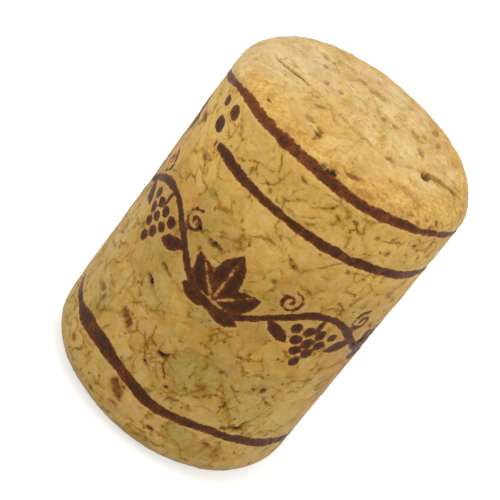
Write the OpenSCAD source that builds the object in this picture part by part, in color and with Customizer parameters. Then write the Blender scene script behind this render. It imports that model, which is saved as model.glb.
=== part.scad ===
// Agglomerated cork stopper, standing on its flat lower end.
// Origin at the centre of the lower end, +Z along the stopper.
// Lengths in mm, angles in degrees, measured round +Z from +X.

/* [Body] */
// Diameter of the straight side
body_d = 23; // [18:0.5:30]
// Length over both ends, up to the top of the crown
body_l = 33; // [26:0.5:54]

/* [Upper end] */
// Height over which the upper rim is worn round
top_rim_h = 2.3; // [1:0.1:4]
// How far the upper rim draws in at the end face
top_rim_w = 2.1; // [0.5:0.1:3]
// Rise of the end face from its rim to its middle
crown_h = 0.5; // [0.1:0.1:1.2]

/* [Lower end] */
// Height over which the lower rim is worn round
foot_rim_h = 3.2; // [1:0.1:4]
// How far the lower rim draws in at the foot
foot_rim_w = 2.6; // [0.5:0.1:3.5]

/* [Splits in the upper end] */
// Length of a split
split_l = 3.4; // [1.5:0.1:5]
// Width of a split at the end face
split_w = 0.5; // [0.2:0.1:1.2]
// Depth of a split
split_d = 0.9; // [0.3:0.1:2]
// Gap between a split's outer end and the worn rim
split_gap = 0.4; // [0.2:0.1:2]

/* [Pores in the side] */
// Length of the largest pore
pore_l = 2.2; // [1:0.1:3]
// Width of the largest pore
pore_w = 0.7; // [0.3:0.1:1.5]
// Depth of the largest pore
pore_d = 0.6; // [0.2:0.1:1.2]

/* [Hidden] */

$fn = 120;
cork = [0.78, 0.64, 0.33];
body_r = body_d / 2;
face_r = body_r - top_rim_w;
rim_top_z = body_l - crown_h;
straight_low = foot_rim_h;
straight_high = rim_top_z - top_rim_h;

// Splits: [angle of its middle, turn from the X axis]
SPLITS = [
    [-168, -9],
    [-11, 22],
];

// Pores: [angle, share of the straight side's height, share of the largest size, lean from level]
PORES = [
    [-108, 0.64, 0.7, 4],
    [-118, 0.64, 0.5, -6],
    [-120, 0.45, 1.0, -14],
    [-121, 0.38, 0.6, -20],
    [-120, 0.23, 0.8, 8],
    [-97, 0.24, 0.6, -30],
    [-104, 0.05, 0.9, -38],
    [-51, 0.14, 0.7, 20],
    [-20, 0.54, 0.8, 8],
    [38, 0.71, 1.0, -10],
    [84, 0.31, 0.8, 22],
    [127, 0.57, 0.9, -6],
    [161, 0.17, 0.7, 14],
];

// Radius of the circle whose arc over a half chord a rises by h
function arc_r(a, h) = (a * a + h * h) / (2 * h);

// Half section of a worn rim, from z = 0 up to h. Its arc leaves the side without a
// corner and has drawn in by w where it meets the end face.
module rim_section(h, w) {
    r = arc_r(h, w);
    intersection() {
        translate([body_r - r, 0]) circle(r = r);
        square([body_r, h]);
    }
    square([body_r - w, h]);
}

// Half section of the crown: one shallow arc across the end face
module crown_section() {
    r = arc_r(face_r, crown_h);
    intersection() {
        translate([0, body_l - r]) circle(r = r, $fn = 720);
        translate([0, rim_top_z]) square([face_r, crown_h]);
    }
}

// Half section of the whole stopper, from the axis outwards
module half_section() {
    translate([0, straight_low]) square([body_r, straight_high - straight_low]);
    translate([0, straight_high]) rim_section(top_rim_h, top_rim_w);
    translate([0, straight_low]) mirror([0, 1]) rim_section(foot_rim_h, foot_rim_w);
    crown_section();
}

// Cutter for a face through z = 0 that looks up: a lens standing on edge along X, which leaves
// an opening l long and w wide with pointed ends, d deep and sharp at the bottom.
module lens_cutter(l, w, d) {
    lens_r = arc_r(l / 2, d);
    lift = lens_r - d;
    lens_t = w / (1 - pow(lift / lens_r, 2));
    ball_r = arc_r(lens_r, lens_t / 2);
    translate([0, 0, lift]) intersection_for (side = [-1, 1])
        translate([0, side * (ball_r - lens_t / 2), 0]) sphere(r = ball_r, $fn = 60);
}

// Split in the end face, close inside the worn rim
module end_split(angle, turn) {
    from_axis = face_r - split_gap - split_l / 2;
    rotate([0, 0, angle]) translate([from_axis, 0, rim_top_z])
        rotate([0, 0, turn - angle]) lens_cutter(split_l, split_w, split_d);
}

// Pore in the side, along the grain or leaning from it
module side_pore(angle, share, size, lean) {
    z = straight_low + share * (straight_high - straight_low);
    rotate([0, 0, angle]) translate([body_r, 0, z]) rotate([lean, 0, 0])
        rotate([90, 0, 90]) lens_cutter(pore_l * size, pore_w * size, pore_d * size);
}

module stopper() {
    color(cork) difference() {
        rotate_extrude() half_section();
        for (s = SPLITS) end_split(s[0], s[1]);
        for (p = PORES) side_pore(p[0], p[1], p[2], p[3]);
    }
}

stopper();
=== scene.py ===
import math
import random
from functools import reduce
from types import SimpleNamespace

import bpy
import numpy as np
from mathutils import Matrix, Vector


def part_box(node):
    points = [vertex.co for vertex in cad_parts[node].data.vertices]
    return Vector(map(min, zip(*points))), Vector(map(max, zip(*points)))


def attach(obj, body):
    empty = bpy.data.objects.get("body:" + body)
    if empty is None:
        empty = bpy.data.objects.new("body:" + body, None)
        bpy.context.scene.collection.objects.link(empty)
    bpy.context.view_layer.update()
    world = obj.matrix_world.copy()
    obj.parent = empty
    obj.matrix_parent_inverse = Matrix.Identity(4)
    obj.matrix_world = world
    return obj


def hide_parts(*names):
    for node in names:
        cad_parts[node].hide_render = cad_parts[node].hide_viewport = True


# A stopper pressed from cork granules, standing on its foot, with stripes and an ornament burnt
# into its side. Lengths here are in millimetres, angles in degrees round +Z from +X, and the
# camera looks along +Y, so the middle of the shown side is at -90.

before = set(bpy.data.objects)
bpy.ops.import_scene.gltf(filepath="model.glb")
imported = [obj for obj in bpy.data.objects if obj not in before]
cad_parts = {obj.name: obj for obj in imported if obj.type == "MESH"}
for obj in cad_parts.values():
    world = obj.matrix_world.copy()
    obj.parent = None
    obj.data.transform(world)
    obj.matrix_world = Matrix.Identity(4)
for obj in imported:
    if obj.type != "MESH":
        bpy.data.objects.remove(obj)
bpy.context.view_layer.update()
NODE = "stopper"
LOW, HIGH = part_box(NODE)
MM = 0.001

# ---- Sizes of the body, as in the CAD part ----
BODY_R = (HIGH.x - LOW.x) / 2 / MM
BODY_H = (HIGH.z - LOW.z) / MM
TOP_RIM_H, TOP_RIM_W = 2.3, 2.1
FOOT_RIM_H, FOOT_RIM_W = 3.2, 2.6
CROWN_H = 0.5
FACE_R = BODY_R - TOP_RIM_W
FOOT_R = BODY_R - FOOT_RIM_W
SIDE_LOW_Z = FOOT_RIM_H
SIDE_HIGH_Z = BODY_H - CROWN_H - TOP_RIM_H

# ---- Mesh ----
SECTION_STEP = 0.02  # distance between points of the section that the rings are taken from
EDGE_SOFT = 0.25  # how far the section's corners are softened
ROUND = 400  # points in a ring of the side
FEWEST = 25  # points in the smallest rings
SHRINK = 0.65  # how far a ring shrinks before it has half the points
RING_STEP = 0.2  # distance between rings on the side
FACE_STEP = 0.185  # distance between rings on the two ends
SEAM_ANGLE = 90  # the UV map is cut at the back
CUT_GAP = 0.3  # the ends' UV islands begin this far inside the faces' edges
UV_STRIP = (0.01, 0.01, 0.98, 0.47)  # left, bottom, width and height of the side's island
UV_DISC_R = 0.235  # radius of the ends' islands, whose middles are here
UV_FOOT_X, UV_TOP_X, UV_DISC_Y = 0.25, 0.75, 0.75

# ---- Camera ----
LENS = 170
CLIP_START = 0.01  # in m
DISTANCE = 202
ELEVATION = 28.4
ROLL = 37.8
AIM_RIGHT, AIM_UP = -1.0, 0.49

# ---- Light and floor ----
WHITE = (1, 1, 1, 1)
SURROUND = 0.69  # brightness of the surround that lights the stopper
# Each lamp's place, aim, size and power in W
LAMPS = {
    "top": ((-20, -62, 203), (0, 0, 20), 130, 0.113),
    "left": ((-200, -50, 90), (0, 0, 16), 120, 0.058),
    "right": ((200, -50, 90), (0, 0, 16), 120, 0.050),
}
FLOOR_HALF = 3.0  # half of its width, in m
FLOOR_GREY = 0.62  # light that it reflects, and that it adds for the camera


def colour(red, green, blue):
    """Linear colour from sRGB steps of 0 to 255."""
    steps = [value / 255 for value in (red, green, blue)]
    linear = [s / 12.92 if s <= 0.04045 else ((s + 0.055) / 1.055) ** 2.4 for s in steps]
    return (*linear, 1.0)


# ---- Tints of the cork ----
STRAW = colour(213, 166, 78)
OCHRE = colour(197, 151, 66)
OLIVE_TINT = colour(174, 151, 78)
ROSE_TINT = colour(207, 147, 81)
PALE_TINT = colour(210, 177, 102)
RUST_TINT = colour(170, 108, 50)
# The next tint is painted light: it brightens the upper side as if lit more from above.
UPPER_PAINTED_LIGHT = colour(236, 190, 102)
LOWER_TINT = colour(206, 174, 102)
RIM_TINT = colour(221, 175, 86)
RIM_DARK = colour(188, 133, 54)
# The next two are partly the rim's own rusty and pale flecks, partly painted shade and highlights of its
# crumbly relief.
RIM_RUST_AND_SHADE = colour(178, 116, 44)
RIM_PALE_AND_HIGHLIGHT = colour(240, 202, 122)
CREAM = colour(210, 170, 92)
CREAM_PALE = colour(224, 192, 126)
CREAM_LIGHT = colour(228, 196, 140)
CREAM_ROSE = colour(222, 172, 108)
BLOTCH_TINT = colour(152, 112, 44)
SEAM_BROWN = colour(108, 64, 10)
# The next colour stains seams, cracks and the olive patches' edges, and is also painted shade round the
# rim's pebbles.
SEAM_STAIN_AND_SHADE = colour(164, 116, 40)
CRACK_DARK = colour(72, 40, 6)
KNOT_BROWN = colour(138, 82, 32)
# The next colour is painted shade: the near-black inside open holes.
HOLE_SHADE = colour(46, 28, 14)
BURN = colour(71, 34, 15)
BURN_EDGE = colour(115, 55, 25)
BURN_BLACK = colour(42, 20, 8)
BURN_DEEP = colour(46, 24, 14)
BURN_WORN = colour(156, 94, 50)
BURN_LIP = colour(222, 176, 110)

# ---- Marks ----
# A crack is (width, darkness, place, place, ...). A place on the side is an angle and a height,
# and on the upper end it is x and y. Neighbours in these lists go to different layers, so that
# crossing cracks don't mix.
CRACK_LAYERS = 3
CRACK_POINTED = 0.8  # how much narrower a crack is at its ends
CRACK_REACH, CRACK_FADE = 0.4, 0.2  # it counts this far to its sides, and fades out over this
CRACKS = [
    # above the middle stripe
    (0.2, 0.8, (-97, 30.4), (-95, 30.35), (-93, 30.3)), (0.12, 0.4, (-92, 30.4), (-89, 30.5)),
    (0.22, 0.7, (-114.5, 28.1), (-114.3, 27.1)),
    (0.16, 0.6, (-109, 27.4), (-106.5, 27.8), (-104, 28.1), (-102.4, 28.6), (-101.8, 29.4)),
    (0.18, 0.6, (-104, 27.4), (-102.4, 27.7)), (0.12, 0.4, (-101.8, 29.4), (-101.5, 30.2)),
    (0.1, 0.3, (-109.5, 30.2), (-110.5, 29.5), (-111, 28.7)),
    (0.22, 0.8, (-76.5, 29.6), (-75.5, 29.4), (-74.2, 29.2)), (0.12, 0.5, (-74, 30.1), (-71, 29.9)),
    (0.26, 0.9, (-69.5, 29.8), (-68, 29.75), (-66.8, 29.5)),
    (0.16, 0.9, (-67.4, 29.5), (-66, 29.2), (-64.6, 29.1), (-62.5, 29.1)),
    (0.22, 0.8, (-68.5, 28.9), (-67, 29), (-65.8, 29.1)),
    (0.12, 0.4, (-41, 29.9), (-40.6, 29.5), (-40, 29.2)), (0.22, 0.5, (-38.2, 28.6), (-36.8, 28.3)),
    (0.16, 0.4, (-36.5, 27.7), (-34.5, 27.5), (-32.5, 27.2)), (0.12, 0.4, (-47.5, 27.5), (-45, 27.1)),
    (0.2, 0.5, (-134.2, 29.5), (-132.2, 29.6)), (0.2, 0.6, (-131.8, 29.45), (-130, 29.3)),
    (0.14, 0.4, (-129, 29.3), (-128.8, 29), (-129.6, 28.7)), (0.16, 0.3, (-126, 28.2), (-125.6, 27.5)),
    # between the middle stripe and the ornament
    (0.26, 0.6, (-134.2, 24.3), (-132.6, 24.35), (-131, 24.1)), (0.18, 0.3, (-127.4, 25.5), (-126.8, 25.1)),
    (0.12, 0.5, (-90, 25.1), (-88, 25.4), (-85, 25.4), (-83, 25.2), (-80, 25.4)),
    (0.2, 0.7, (-80, 24.1), (-79.2, 23.8), (-77.8, 23.5), (-76.4, 23.4)),
    (0.14, 0.5, (-58, 25.2), (-56.5, 25.3), (-54, 25.4), (-51, 25.5), (-47.5, 25.4)),
    (0.1, 0.3, (-97, 23.8), (-93, 24), (-89, 23.8)), (0.14, 0.3, (-66, 23.9), (-63, 24), (-60.5, 23.9)),
    # around the ornament
    (0.14, 0.7, (-129, 17.1), (-126, 17.3), (-123, 17.1), (-120.4, 17.2), (-118, 17.35)),
    (0.16, 0.7, (-115.6, 17.5), (-113.5, 17.7), (-111.4, 18.1)),
    (0.18, 0.5, (-106.6, 18.6), (-104, 18.6), (-102, 18.9), (-100.5, 19)),
    (0.12, 0.3, (-109.6, 21.1), (-108.2, 21.4)),
    (0.12, 0.4, (-87.5, 18.6), (-85, 18.5), (-81.4, 18.5), (-80.2, 18.9)),
    (0.16, 0.5, (-82, 21.4), (-79.2, 21.5), (-78.1, 21.2), (-77.9, 20.8)),
    (0.1, 0.3, (-88.5, 21.4), (-85, 21.5), (-83, 21.4)),
    (0.18, 0.6, (-50, 22.2), (-48.4, 22), (-46.6, 21.4), (-44.8, 21), (-44, 20.7)),
    (0.12, 0.5, (-45.4, 20.7), (-42, 20.4), (-39, 20.6)),
    (0.2, 0.5, (-40, 18.2), (-38, 18.5), (-36.4, 18.6)),
    (0.14, 0.5, (-75, 18.6), (-74.4, 18), (-74, 17.3), (-73, 16.8), (-72.4, 16.6)),
    (0.16, 0.5, (-66, 19.1), (-63, 19)), (0.12, 0.3, (-58, 16), (-54, 16)),
    (0.12, 0.3, (-53, 15.4), (-50, 14.9)), (0.16, 0.5, (-141, 18.2), (-138.4, 18.8)),
    (0.12, 0.4, (-142, 17.2), (-139.6, 17.5)),
    # between the ornament and the lower stripe, from the left
    (0.3, 0.6, (-161, 12), (-158, 12.4), (-155, 12.8)),
    (0.3, 0.6, (-161, 10.8), (-157, 11.2), (-152, 11.5)),
    (0.12, 0.5, (-131, 12.8), (-131.3, 11.6), (-130.9, 10.4), (-131.2, 9.2)),
    (0.12, 0.4, (-131, 11), (-127, 11.1), (-125, 11.3), (-122.5, 11.1), (-119.5, 11.3)),
    (0.14, 0.4, (-128.4, 13.2), (-126, 12.9)),
    (0.2, 0.5, (-134.8, 7.2), (-133, 7.4), (-132, 7.8), (-133.8, 8.1)),
    (0.2, 0.5, (-137.4, 7.6), (-136.4, 7)),
    (0.12, 0.5, (-119.5, 11.3), (-115, 11.4), (-111.4, 12), (-107, 12.1)),
    (0.12, 0.4, (-116.5, 13.9), (-115.8, 13.2), (-112, 13), (-108, 13)),
    (0.12, 0.4, (-111.6, 12.9), (-111, 12.5), (-111.4, 12), (-112.4, 11.6)),
    (0.12, 0.3, (-101, 11.5), (-99.4, 11.4), (-97.4, 11), (-97.2, 10.7)),
    (0.22, 0.7, (-95.6, 11.6), (-93.6, 11.9)), (0.22, 0.7, (-86, 12.9), (-84.5, 12.6)),
    (0.14, 0.6, (-94.2, 11), (-93.4, 10.5), (-94, 10.1)),
    (0.14, 0.8, (-109.6, 10), (-108, 9.6), (-106, 9.2), (-104.8, 8.8), (-103.4, 8.5), (-102, 8),
     (-99.6, 7.8), (-97, 7.6)), (0.2, 0.8, (-104.6, 10), (-102.8, 9.8), (-101.4, 9.8)),
    (0.1, 0.6, (-103.4, 8.5), (-101, 8.4), (-99.5, 8.8), (-97.6, 9.2)),
    (0.1, 0.5, (-101, 8.4), (-99.5, 8.3), (-98, 8.7)),
    (0.18, 1, (-95.6, 9.9), (-95.1, 9.3), (-94.8, 8.9), (-93, 8.5), (-91.5, 8.2), (-90.2, 7.9)),
    (0.12, 0.6, (-99.4, 9.5), (-100.2, 10.1), (-99.8, 10.6)),
    (0.14, 0.5, (-97, 9), (-96.4, 8.4), (-94.8, 7.8), (-92, 7.5)), (0.24, 0.7, (-93.5, 6.6), (-91.6, 6.8)),
    (0.18, 0.6, (-110.6, 6.7), (-109.7, 6.3)), (0.18, 0.4, (-114.2, 9.6), (-112.5, 9.7)),
    (0.18, 0.7, (-123, 9.7), (-121.6, 10), (-120, 9.9), (-118.6, 9.4)),
    (0.22, 0.8, (-118.4, 9.2), (-117, 8.7)), (0.1, 0.3, (-113, 9.2), (-114.6, 8.6)),
    (0.2, 0.8, (-85.6, 6.2), (-84.4, 6.6), (-82.8, 6.8), (-80, 7)),
    (0.12, 0.6, (-80, 7), (-77.5, 6.95), (-75, 6.9)),
    (0.12, 0.5, (-91.6, 11.3), (-90, 11.8), (-86, 12), (-82, 11.9)), (0.2, 0.5, (-74, 9.9), (-73.2, 9.6)),
    (0.24, 0.7, (-74, 8.5), (-72.6, 8.8)), (0.16, 0.5, (-71.6, 11.7), (-70, 11.3)),
    (0.16, 0.7, (-67, 10.8), (-65, 10.5), (-63.5, 10.4), (-61.5, 10.7)),
    (0.14, 0.6, (-63.6, 10.3), (-61, 9.8), (-58, 9.5)),
    (0.12, 0.3, (-61.5, 10.7), (-58.5, 10.8), (-56, 10.7)),
    (0.18, 0.7, (-60.6, 12.7), (-58, 12.7), (-56, 12.6)),
    (0.18, 0.8, (-47.6, 11.1), (-46.2, 11.2), (-45.4, 10.8)),
    (0.18, 0.8, (-49, 10.4), (-47, 10.3), (-45.4, 10)), (0.16, 0.5, (-47.4, 12.8), (-46, 12.6)),
    (0.26, 0.9, (-64.6, 8.2), (-63.6, 8.6), (-62.2, 8.8)), (0.24, 0.9, (-63.6, 8.6), (-64, 9)),
    (0.12, 0.4, (-74, 7.4), (-71, 7.7), (-66, 7.6)), (0.12, 0.4, (-60, 9), (-57.5, 8.8), (-55, 8.2)),
    (0.12, 0.3, (-71, 10.6), (-68, 10.2), (-67, 9.4), (-64.6, 9.2)),
    (0.26, 0.9, (-58.6, 6.3), (-57, 6.5), (-55, 6.4)), (0.3, 1, (-56, 6.8), (-53, 6.8), (-50, 6.7)),
    (0.3, 0.9, (-50.4, 6.6), (-50, 7.2), (-49.6, 7.9)), (0.14, 0.5, (-45.4, 6.7), (-43.6, 6.4)),
    # below the lower stripe
    (0.18, 0.4, (-148, 3), (-145, 3.3), (-143, 3.7)), (0.22, 0.5, (-142, 4.3), (-140, 4.6)),
    (0.14, 0.4, (-131, 3), (-129.4, 3.4), (-128, 4.1)), (0.2, 0.5, (-130, 4.5), (-128, 4.6), (-125.4, 4.6)),
    (0.2, 0.4, (-131, 1.9), (-127, 2.6)), (0.16, 0.6, (-105, 5.2), (-106.4, 4.9), (-107.2, 4.6)),
    (0.12, 0.7, (-80, 3.3), (-78, 3.1), (-76, 3.15), (-74, 3)), (0.12, 0.6, (-82, 2.85), (-80, 2.7)),
    (0.16, 0.4, (-80.6, 2), (-77.4, 2)),
    (0.12, 0.5, (-76, 3.7), (-72, 3.4), (-69, 3.2), (-66, 2.6), (-64, 2)),
    (0.14, 0.5, (-70.6, 5), (-69.6, 4.7)), (0.12, 0.3, (-68, 5), (-65, 4.8), (-63, 4.5)),
    (0.24, 0.7, (-61.6, 4.5), (-59.4, 4.4), (-57.4, 4)),
    (0.14, 0.6, (-56.6, 4.9), (-54.4, 4.8), (-53, 4.2), (-52, 3.6), (-50.6, 3.5)),
    (0.26, 0.8, (-51.4, 3.5), (-49.6, 3.5)), (0.12, 0.4, (-60.4, 3.9), (-58, 3.5)),
    (0.12, 0.4, (-46, 4.1), (-41, 4), (-37, 3.7)), (0.2, 0.4, (-97, 1.2), (-93, 1.2)),
]
FACE_CRACKS = [
    (0.32, 0.9, (-8.9, -1.2), (-8.1, -1.5), (-7.2, -1.7), (-6.2, -1.9), (-5.4, -2.1)),
    (0.6, 0.7, (6.4, -2.3), (6.5, -1.7), (7, -1.3), (7.8, -1), (8.8, -0.7), (9.5, -0.6)),
    (0.36, 0.8, (-2.8, -7), (-2.3, -7.5), (-2.2, -8.4), (-2.5, -9.2)),
    (0.2, 0.5, (1.2, -9.9), (1.9, -9.6), (2.5, -9.3)), (0.16, 0.4, (-4.1, -4.4), (-3.6, -4), (-3.1, -3.7)),
    (0.16, 0.4, (3, -4.2), (3.4, -3.9), (3.8, -3.6)), (0.12, 0.3, (-1.2, 4), (-0.2, 2.6), (0.6, 1.4)),
    (0.12, 0.3, (-9.4, -0.6), (-8.9, -1.2)),
]

# A pit is (place, length, width, lean, depth, darkness): a brown knot at 0, an open hole at 1,
# whose near-black is painted shade. The first 13 are the CAD part's pores. The first two cracks
# and pits on the end are its splits.
PITS = [
    (-108, 20.5, 1.6, 0.5, 6, 0.4, 0.8), (-118, 20.5, 1.2, 0.4, -6, 0.3, 0.9),
    (-119, 15.5, 1.8, 0.3, -10, 0.4, 0.5), (-121, 13.6, 1.3, 0.4, -24, 0.35, 1),
    (-120, 9.4, 1.8, 0.8, -16, 0.3, 0.5), (-97.4, 9.6, 1, 0.5, 24, 0.4, 1),
    (-104, 4, 1.9, 0.9, -36, 0.3, 0.4), (-51, 6.8, 1.1, 0.4, 10, 0.35, 0.7),
    (-20, 17.8, 1.6, 0.5, 8, 0.4, 0.7), (38, 22.4, 2, 0.6, -10, 0.5, 0.9),
    (84, 11.4, 1.7, 0.5, 22, 0.4, 0.7), (127, 18.6, 1.9, 0.6, -6, 0.5, 0.8),
    (161, 7.7, 1.5, 0.5, 14, 0.35, 0.5),
    # more of them, left to right
    (-101.4, 3.6, 0.7, 0.5, -40, 0.3, 0.8), (-102, 2.8, 0.9, 0.4, 0, 0.12, 0.1),
    (-158, 25.8, 1.4, 0.7, 0, 0.15, 0.2), (-138, 26.2, 0.3, 0.6, 0, 0.15, 0.8),
    (-92, 31.95, 0.6, 0.3, 0, 0.12, 0.9), (-42, 31.5, 0.4, 0.25, 0, 0.08, 0.5),
    (-37, 31.8, 0.3, 0.2, 0, 0.08, 0.7), (-34, 31.3, 0.4, 0.2, 20, 0.08, 0.4),
    (-47, 31.9, 0.5, 0.2, 0, 0.08, 0.6), (-30, 31.6, 0.4, 0.3, 0, 0.08, 0.6),
    (-88.5, 31.8, 1.4, 0.6, 4, 0.2, 1), (-133, 32.3, 0.9, 0.4, 0, 0.15, 0.7),
    (-138, 24.6, 0.6, 0.4, 0, 0.06, 0.2), (-142, 8.7, 1.4, 0.5, 10, 0.1, 0.2),
    (-137, 8.3, 0.5, 0.9, 0, 0.08, 0.2), (-137, 3.4, 0.9, 0.6, 0, 0.08, 0.1),
    (-121.5, 11.9, 0.4, 0.3, 0, 0.06, 0.4), (-125, 18.5, 0.4, 0.3, 0, 0.06, 0.4),
    (-112.4, 19.3, 0.4, 0.4, 0, 0.12, 0.8), (-101.6, 8, 0.5, 0.3, -10, 0.12, 0.9),
    (-88.2, 7.4, 0.4, 0.3, 0, 0.15, 0.9), (-95.3, 10, 0.5, 0.3, 40, 0.2, 1),
    (-76, 9.3, 0.8, 0.6, 0, 0.06, 0.1), (-73.4, 11.5, 0.5, 0.5, 0, 0.08, 0.4),
    (-75, 6.8, 0.4, 0.3, 0, 0.1, 0.6), (-82.4, 3.15, 0.8, 0.3, 6, 0.2, 0.9),
    (-57, 11.3, 0.4, 0.3, 0, 0.1, 0.6), (-52.8, 11.5, 0.5, 0.6, 20, 0.15, 0.8),
    (-49, 29.5, 0.5, 0.4, 0, 0.06, 0.3), (-56, 29.3, 0.4, 0.3, 0, 0.05, 0.2),
    (-47.2, 28.2, 0.6, 0.4, 0, 0.06, 0.3), (-36.7, 29.4, 0.5, 0.4, -20, 0.12, 0.7),
    (-57, 25.3, 0.5, 0.3, 0, 0.08, 0.6), (-72.6, 20.9, 0.4, 0.3, 0, 0.12, 0.8),
    (-42, 13.1, 0.5, 0.3, 0, 0.06, 0.3), (-50, 22.1, 0.4, 0.4, 0, 0.1, 0.6),
    (-46.4, 3.3, 0.4, 0.3, 0, 0.08, 0.5), (-58.4, 4.3, 0.8, 0.4, -20, 0.1, 0.2),
    (-114.4, 1.9, 0.4, 0.3, 0, 0.08, 0.5), (-77, 23.5, 0.5, 0.3, -10, 0.1, 0.8),
]
FACE_PITS = [
    (-7.6, -1.6, 1.6, 0.4, -9, 0.5, 0.3), (6.6, -2, 0.9, 1.6, 0, 0.7, 0.5),
    (-2.4, -8, 0.7, 0.6, 0, 0.15, 0.7), (9.2, -0.6, 0.8, 0.6, 0, 0.5, 0.6),
    (-3.6, -6.8, 1, 0.8, -10, 0.15, 0.2), (1.9, -9.7, 1.3, 0.6, 20, 0.15, 0.2),
    (0.6, -10.6, 1.2, 0.5, 0, 0.12, 0.5), (-3.7, -4.1, 0.9, 0.6, 35, 0.12, 0.1),
    (3.4, -4, 0.9, 0.6, 30, 0.12, 0.1), (5.2, 0.8, 0.7, 1.3, 20, 0.12, 0.1), (3.9, 3, 0.9, 1, 0, 0.12, 0),
    (2.2, 1.5, 0.6, 0.6, 0, 0.1, 0.1), (-4.5, 0.1, 0.5, 0.9, 0, 0.1, 0.1),
    (-3.1, 0.3, 0.5, 0.9, 10, 0.1, 0), (0.4, -3.9, 1.2, 0.6, 0, 0.1, 0), (-0.6, 4.6, 1.8, 1.2, 0, 0.12, 0),
    (-2.2, 4.9, 1, 0.8, 0, 0.1, 0), (1.1, 1.3, 0.5, 0.7, 0, 0.12, 0.2), (4.5, -6.6, 0.4, 0.4, 0, 0.1, 0.2),
    (6.1, 4.5, 0.5, 1.2, 0, 0.1, 0.1), (-5.4, 2.8, 0.5, 0.9, 0, 0.1, 0.1),
    (-6.1, 4.7, 0.8, 0.6, -30, 0.1, 0), (5.3, 6.3, 0.6, 1.4, 0, 0.1, 0.1),
]

# A patch is (place, length, width, lean, kind, strength): a granule or stain of its own colour.
OLIVE, RUST, PALE = 0, 1, 2
PATCHES = [
    (-82, 10, 4.6, 3.8, 0, OLIVE, 1), (-76, 9.2, 1.4, 1.2, 0, OLIVE, 0.9), (-40, 7, 9, 5, 5, PALE, 0.8),
    # The pale patches at -153 and -145 are partly a paler tone and partly painted sheen, the paleness of
    # grazing light towards the side's left edge as the camera sees it.
    (-34, 12, 5, 6, 5, PALE, 0.7), (-153, 13, 5, 8, 5, PALE, 1), (-145, 8.5, 5, 3.4, 12, PALE, 0.9),
    (-58, 3.5, 5, 2.4, 0, OLIVE, 0.4), (-122, 23.6, 1, 0.7, 0, OLIVE, 1),
    (-161, 5.5, 1.8, 0.7, 10, RUST, 1), (-104, 4.2, 2.6, 1.8, -30, RUST, 0.8),
    (-96, 29, 4.4, 2.8, 0, RUST, 0.35), (-81, 6.6, 3.4, 1, 0, RUST, 0.5),
    (-58, 4.4, 2.2, 1, -10, RUST, 0.6), (-40, 26, 5, 2.4, 0, PALE, 0.4), (-62, 28, 5, 2.2, 0, PALE, 0.3),
    (-117, 29, 3.6, 3, 0, PALE, 0.4), (-113, 16.6, 3.4, 2, 0, PALE, 0.4),
    (-105, 9, 3, 2.2, -20, RUST, 0.25), (-118, 31.9, 4.5, 1.2, 0, RUST, 0.5),
    (-71, 31.9, 3, 0.8, 0, RUST, 0.8), (-72, 4.1, 3, 2, 0, OLIVE, 0.9), (-137, 8, 2.4, 4.2, 0, OLIVE, 0.8),
    (-46, 9.6, 2.8, 2.8, 0, PALE, 0.8), (-56, 32, 3.6, 1.2, 0, RUST, 0.6),
    (-130, 12, 3.4, 2.6, 0, PALE, 0.8), (-88, 32.3, 2.6, 1.4, 10, RUST, 0.5),
]
FACE_PATCHES = [
    (6.5, -6.3, 3.2, 2, 0, RUST, 0.7), (6.8, 1, 3.5, 3, 0, RUST, 0.5), (-4.6, -8.6, 3.6, 2, 25, RUST, 0.5),
    (0.4, 1.6, 1.2, 1.4, 0, RUST, 0.5), (-3.7, -6.9, 1.4, 1, 0, RUST, 0.6),
    (-1.5, -2.4, 3, 1.4, 20, RUST, 0.3), (4.8, 7.2, 1.8, 1.8, 0, RUST, 0.4),
    (-1, 4.8, 3, 1.6, 0, OLIVE, 0.4), (5.2, 0.7, 1.2, 1.6, 0, OLIVE, 0.5), (-6.5, 1, 7, 9, 0, PALE, 0.8),
    (0, 7, 11, 6, 0, PALE, 0.6), (4.8, -3, 3.4, 2, 0, PALE, 0.4),
]

# Bulges and hollows of the body: (angle, height, spread, outward)
BULGES = [
    (130, 31.5, 6, 0.2), (70, 31.5, 5, 0.06), (10, 31, 5, -0.08), (-65, 1, 7, 0.16),
]

# ---- Zones ----
FACE_EDGE = 0.9  # the marks of the upper end go this far past its edge
END_EDGE, END_BLEND = 0.5, 2.0  # so far past an edge, the end's colour begins, and blends over this
RIM_BLEND = 0.4  # height over the upper stripe at which the rim's colour is full
RIM_INNER, RIM_INNER_BLEND = 6.0, 3.0  # radius where it begins, and width over which it grows
INK_R = 8.5  # nothing is burnt inside this radius

# Marks on the side that the photo doesn't show are strewn between these angles and heights.
BACK_SEED = 11
BACK_ANGLES, BACK_HEIGHTS = (-28, 205), (1.5, 30.5)
BACK_CRACKS, BACK_PITS, BACK_PATCHES = 120, 45, 16

# ---- Stripes and ornament ----
# A stripe is a row of (angle, height, width).
TOP_STRIPE = [
    (-180, 28.9, 0.8), (-165, 29.5, 0.8), (-150, 30.6, 0.6), (-142, 31, 0.7), (-134, 31.2, 0.8),
    (-120, 31.35, 0.75), (-103, 31.55, 0.8), (-88, 31.45, 0.85), (-72, 31.25, 0.75), (-55, 31.2, 0.8),
    (-44, 31.05, 0.55), (-30, 30.85, 0.5), (-12, 30.3, 0.6), (20, 29.8, 0.8), (60, 29.4, 0.8),
    (100, 29.5, 0.7), (140, 29.1, 0.8), (180, 28.9, 0.8),
]
MID_STRIPE = [
    (-134, 26.5, 0.9), (-128, 26.6, 1), (-105, 26.65, 0.95), (-97, 26.65, 0.8), (-93, 26.6, 0.65),
    (-85, 26.65, 0.95), (-70, 26.6, 1), (-61, 26.45, 0.7), (-55, 26.45, 0.95), (-25, 26.1, 0.9),
    (10, 25.7, 0.8), (60, 25.5, 0.9), (90, 25.8, 0.8), (120, 26.3, 0.9), (145, 26.9, 0.8), (165, 27.3, 0.9),
    (177, 27.3, 0.9),
]
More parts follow.
